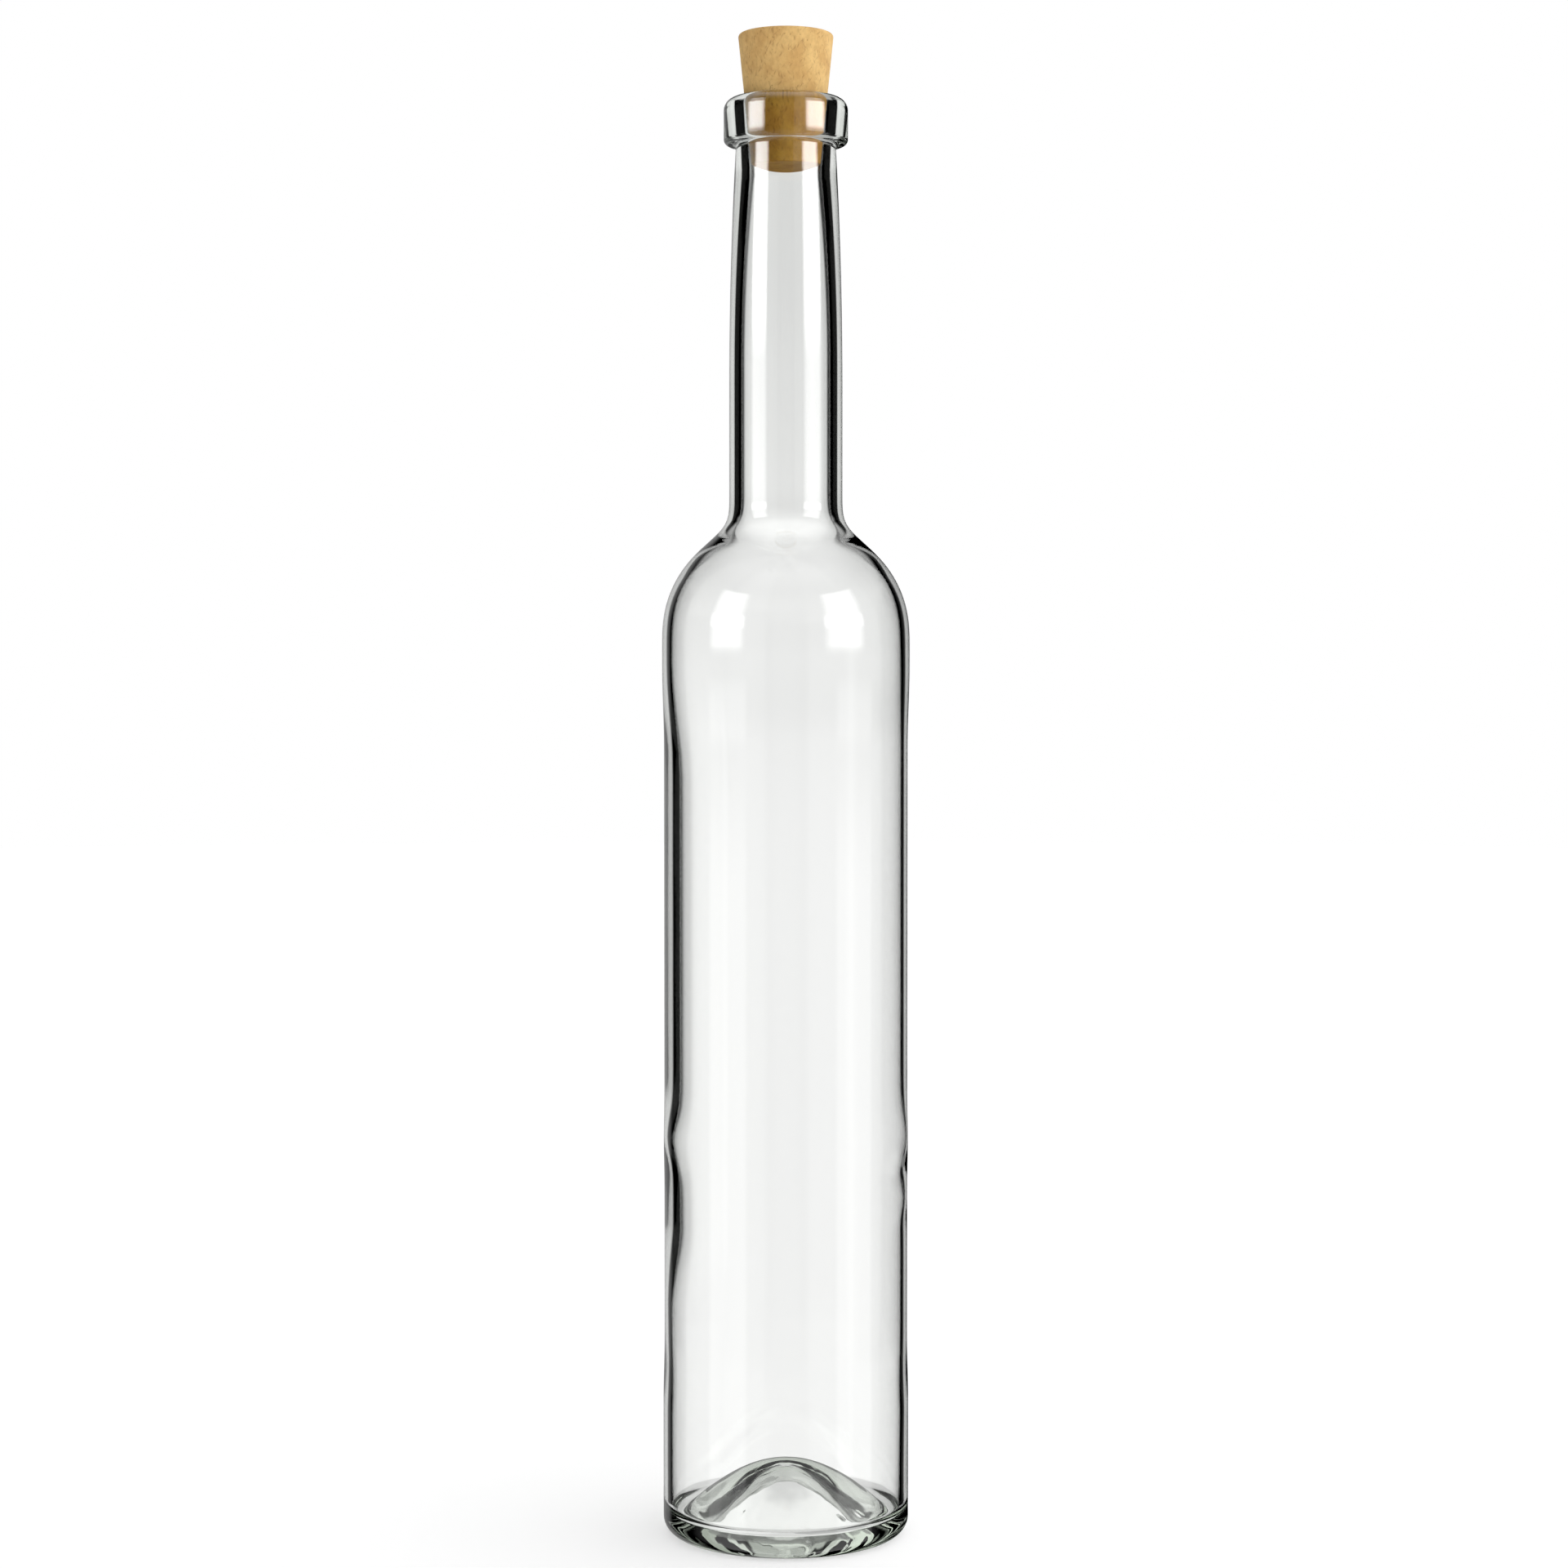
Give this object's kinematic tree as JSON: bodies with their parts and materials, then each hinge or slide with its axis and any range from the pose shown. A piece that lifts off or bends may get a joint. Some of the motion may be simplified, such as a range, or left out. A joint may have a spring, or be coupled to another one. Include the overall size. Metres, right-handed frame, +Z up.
{
  "type": "stoppered glass bottle",
  "caption": "Tall slim round glass bottle with a long neck, a thick lip ring and a tapered cork stopper that pulls out.",
  "frame": {"origin": "on the table, under the middle of the bottle's base", "axes": "+Z up along the bottle's axis; the bottle is round, so X and Y are free"},
  "size_m": [0.054, 0.054, 0.327],
  "materials": {
    "glass": "clear moulded flint glass with a faint green edge",
    "cork": "natural cork, matt, with fine brown pits and streaks"
  },
  "bodies": {
    "bottle": {"glass_bottle": "glass"},
    "stopper": {"cork_stopper": "cork"}
  },
  "joints": [
    {"name": "stopper_lift", "type": "slide", "parent": "bottle", "child": "stopper", "axis": [0, 0, 1], "range_m": [0, 0.06]}
  ]
}
